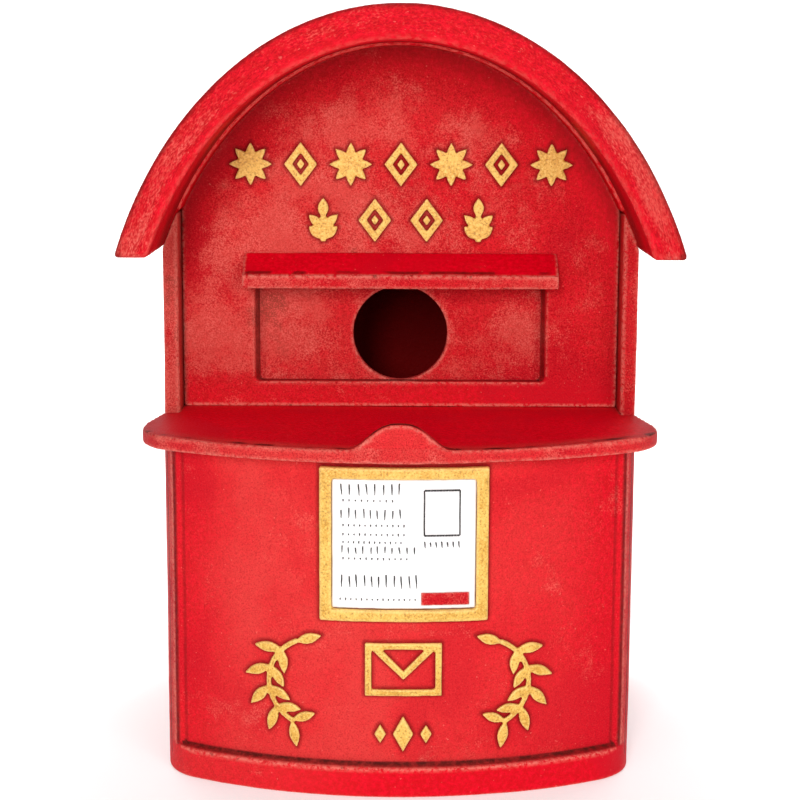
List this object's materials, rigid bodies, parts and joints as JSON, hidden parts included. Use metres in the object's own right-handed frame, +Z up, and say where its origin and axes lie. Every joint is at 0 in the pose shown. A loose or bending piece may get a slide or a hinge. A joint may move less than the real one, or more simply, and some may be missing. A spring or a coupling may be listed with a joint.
{
  "type": "bird nesting box",
  "caption": "Bird nesting box in the shape of a red letter box, with a round entrance hole under a rain hood, a landing shelf, an arched roof and a clean-out door in its back.",
  "frame": {"origin": "middle of the footprint, on the surface that the box stands on", "axes": "+X is the width, to the right seen from the front; +Y is the depth, from the front towards the wall that the box hangs on; +Z is up"},
  "size_m": [0.1782, 0.14, 0.246],
  "materials": {
    "painted_resin": "hand-painted cast resin, sandy grain, dry-brushed highlights and dark antiquing in the corners",
    "gold_paint": "gold-yellow paint on relief, worn to brown along its edges",
    "white_paint": "white painted plate with faint stains",
    "zinc_steel": "zinc-plated steel hardware",
    "softwood": "sawn softwood strip"
  },
  "bodies": {
    "root": {"left_wall": "painted_resin", "right_wall": "painted_resin", "floor": "painted_resin", "upper_front_panel": "painted_resin", "entrance_plate": "painted_resin", "entrance_hood": "painted_resin", "landing_shelf": "painted_resin", "lower_front_panel": "painted_resin", "roof": "painted_resin", "back_panel": "painted_resin", "left_cleat": "softwood", "right_cleat": "softwood", "back_panel_screws": "zinc_steel", "door_hinge_pins": "zinc_steel", "turn_button_screw": "zinc_steel", "hanger_plate": "zinc_steel", "hanger_screws": "zinc_steel", "notice_frame": "gold_paint", "notice_plate": "white_paint", "notice_bar": "painted_resin", "upper_ornaments": "gold_paint", "lower_ornaments": "gold_paint", "left_sprig": "gold_paint", "right_sprig": "gold_paint", "envelope_ornament": "gold_paint", "lozenge_ornaments": "gold_paint"},
    "door": {"clean_out_door": "painted_resin", "door_pull": "zinc_steel"},
    "button": {"turn_button": "zinc_steel"}
  },
  "joints": [
    {"name": "door_hinge", "type": "hinge", "parent": "root", "child": "door", "pos_m": [-0.039, 0.0634, 0.059], "axis": [0, 0, 1], "range_deg": [0, 90]},
    {"name": "button_turn", "type": "hinge", "parent": "root", "child": "button", "pos_m": [0.049, 0.0675, 0.059], "axis": [0, 1, 0], "range_deg": [0, 90]}
  ]
}
